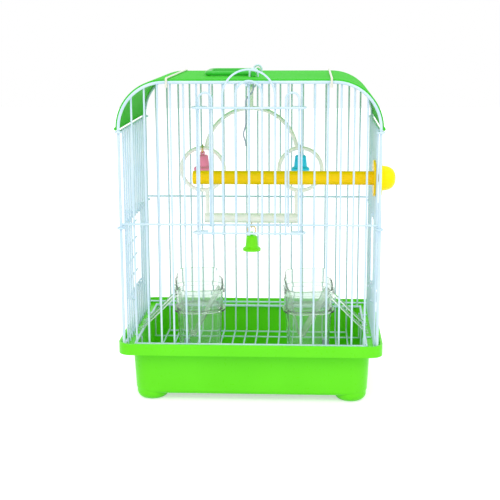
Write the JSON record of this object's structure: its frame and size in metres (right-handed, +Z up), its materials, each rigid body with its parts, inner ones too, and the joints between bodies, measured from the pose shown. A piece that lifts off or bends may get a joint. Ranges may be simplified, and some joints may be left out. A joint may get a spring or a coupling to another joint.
{
  "type": "small bird cage",
  "caption": "Small wire bird cage with a green pan and bent roof, lifting doors, clamped perch, swing with bells, and clear hooded feeders.",
  "frame": {"origin": "middle of the whole footprint at the height of the feet's undersides", "axes": "+X to the right as the front door is faced, +Y to the back, +Z up"},
  "size_m": [0.2292, 0.16, 0.2786],
  "materials": {
    "pan": "smooth bright green moulding",
    "roof": "smooth green sheet",
    "handle": "smooth green moulding",
    "wire": "white coated wire",
    "perch": "smooth yellow moulding",
    "nut": "smooth yellow moulding",
    "swing": "smooth ivory moulding",
    "pink_bell": "smooth pink moulding",
    "blue_bell": "smooth blue moulding",
    "green_bell": "smooth lime green moulding",
    "brass": "small bright wire",
    "clear": "clear moulding",
    "lug": "grey moulding"
  },
  "bodies": {
    "base": {"pan": "pan", "floor_grate": "wire"},
    "cage": {"front_frame": "wire", "back_frame": "wire", "front_wires": "wire", "back_wires": "wire", "left_panel": "wire", "right_panel": "wire", "roof_cover": "roof", "roof_straps": "wire", "ridge_wire": "wire", "handle_staples": "wire", "door_catch": "wire", "perch_rod": "perch"},
    "handle": {"carry_handle": "handle"},
    "front_door": {"front_door_bars": "wire", "front_door_rails": "wire"},
    "left_door": {"left_side_door": "wire"},
    "right_door": {"right_side_door": "wire"},
    "perch_nut": {"perch_nut": "nut"},
    "swing_ring": {"swing_hook": "wire"},
    "swing": {"swing_frame": "swing", "swing_bar": "swing", "swing_eyelet": "brass"},
    "left_bell": {"left_bell": "pink_bell", "left_bell_link": "brass"},
    "left_clapper": {"left_clapper": "brass"},
    "right_bell": {"right_bell": "blue_bell", "right_bell_link": "brass"},
    "right_clapper": {"right_clapper": "brass"},
    "middle_bell": {"middle_bell": "green_bell", "middle_bell_link": "brass"},
    "middle_clapper": {"middle_clapper": "brass"},
    "left_feeder": {"left_feeder_cup": "clear", "left_feeder_hood": "clear", "left_feeder_chute": "clear", "left_feeder_lug": "lug"},
    "right_feeder": {"right_feeder_cup": "clear", "right_feeder_hood": "clear", "right_feeder_chute": "clear", "right_feeder_lug": "lug"}
  },
  "joints": [
    {"name": "cage_lift", "type": "slide", "parent": "base", "child": "cage", "axis": [0, 0, 1], "range_m": [0, 0.06]},
    {"name": "handle_pivot", "type": "hinge", "parent": "cage", "child": "handle", "pos_m": [-0.00258, 0, 0.2724], "axis": [0, 1, 0], "range_deg": [0, 180]},
    {"name": "front_door_slide", "type": "slide", "parent": "cage", "child": "front_door", "axis": [0, 0, 1], "range_m": [-0.091, 0]},
    {"name": "left_door_slide", "type": "slide", "parent": "cage", "child": "left_door", "axis": [0, 0, 1], "range_m": [0, 0.058]},
    {"name": "right_door_slide", "type": "slide", "parent": "cage", "child": "right_door", "axis": [0, 0, 1], "range_m": [0, 0.058]},
    {"name": "perch_nut_turn", "type": "hinge", "parent": "cage", "child": "perch_nut", "pos_m": [0.10743, -0.04725, 0.188], "axis": [1, 0, 0], "continuous": true},
    {"name": "swing_sideways", "type": "hinge", "parent": "cage", "child": "swing_ring", "pos_m": [-0.00658, 0, 0.2656], "axis": [0, 1, 0], "range_deg": [-15, 15]},
    {"name": "swing_forward", "type": "hinge", "parent": "swing_ring", "child": "swing", "pos_m": [-0.00658, 0, 0.2588], "axis": [1, 0, 0], "range_deg": [-15, 15]},
    {"name": "left_bell_swing", "type": "hinge", "parent": "swing", "child": "left_bell", "pos_m": [-0.04908, 0, 0.2072], "axis": [1, 0, 0], "range_deg": [-20, 20]},
    {"name": "left_clapper_swing", "type": "hinge", "parent": "left_bell", "child": "left_clapper", "pos_m": [-0.04908, 0, 0.19975], "axis": [1, 0, 0], "range_deg": [-8, 8]},
    {"name": "right_bell_swing", "type": "hinge", "parent": "swing", "child": "right_bell", "pos_m": [0.03592, 0, 0.2072], "axis": [1, 0, 0], "range_deg": [-20, 20]},
    {"name": "right_clapper_swing", "type": "hinge", "parent": "right_bell", "child": "right_clapper", "pos_m": [0.03592, 0, 0.19975], "axis": [1, 0, 0], "range_deg": [-8, 8]},
    {"name": "middle_bell_swing", "type": "hinge", "parent": "swing", "child": "middle_bell", "pos_m": [-0.00658, 0, 0.13715], "axis": [0, 1, 0], "range_deg": [-20, 20]},
    {"name": "middle_clapper_swing", "type": "hinge", "parent": "middle_bell", "child": "middle_clapper", "pos_m": [-0.00658, 0, 0.12855], "axis": [0, 1, 0], "range_deg": [-8, 8]},
    {"name": "left_feeder_lift", "type": "slide", "parent": "base", "child": "left_feeder", "axis": [0, 0, 1], "range_m": [0, 0.02]},
    {"name": "right_feeder_lift", "type": "slide", "parent": "base", "child": "right_feeder", "axis": [0, 0, 1], "range_m": [0, 0.02]}
  ]
}
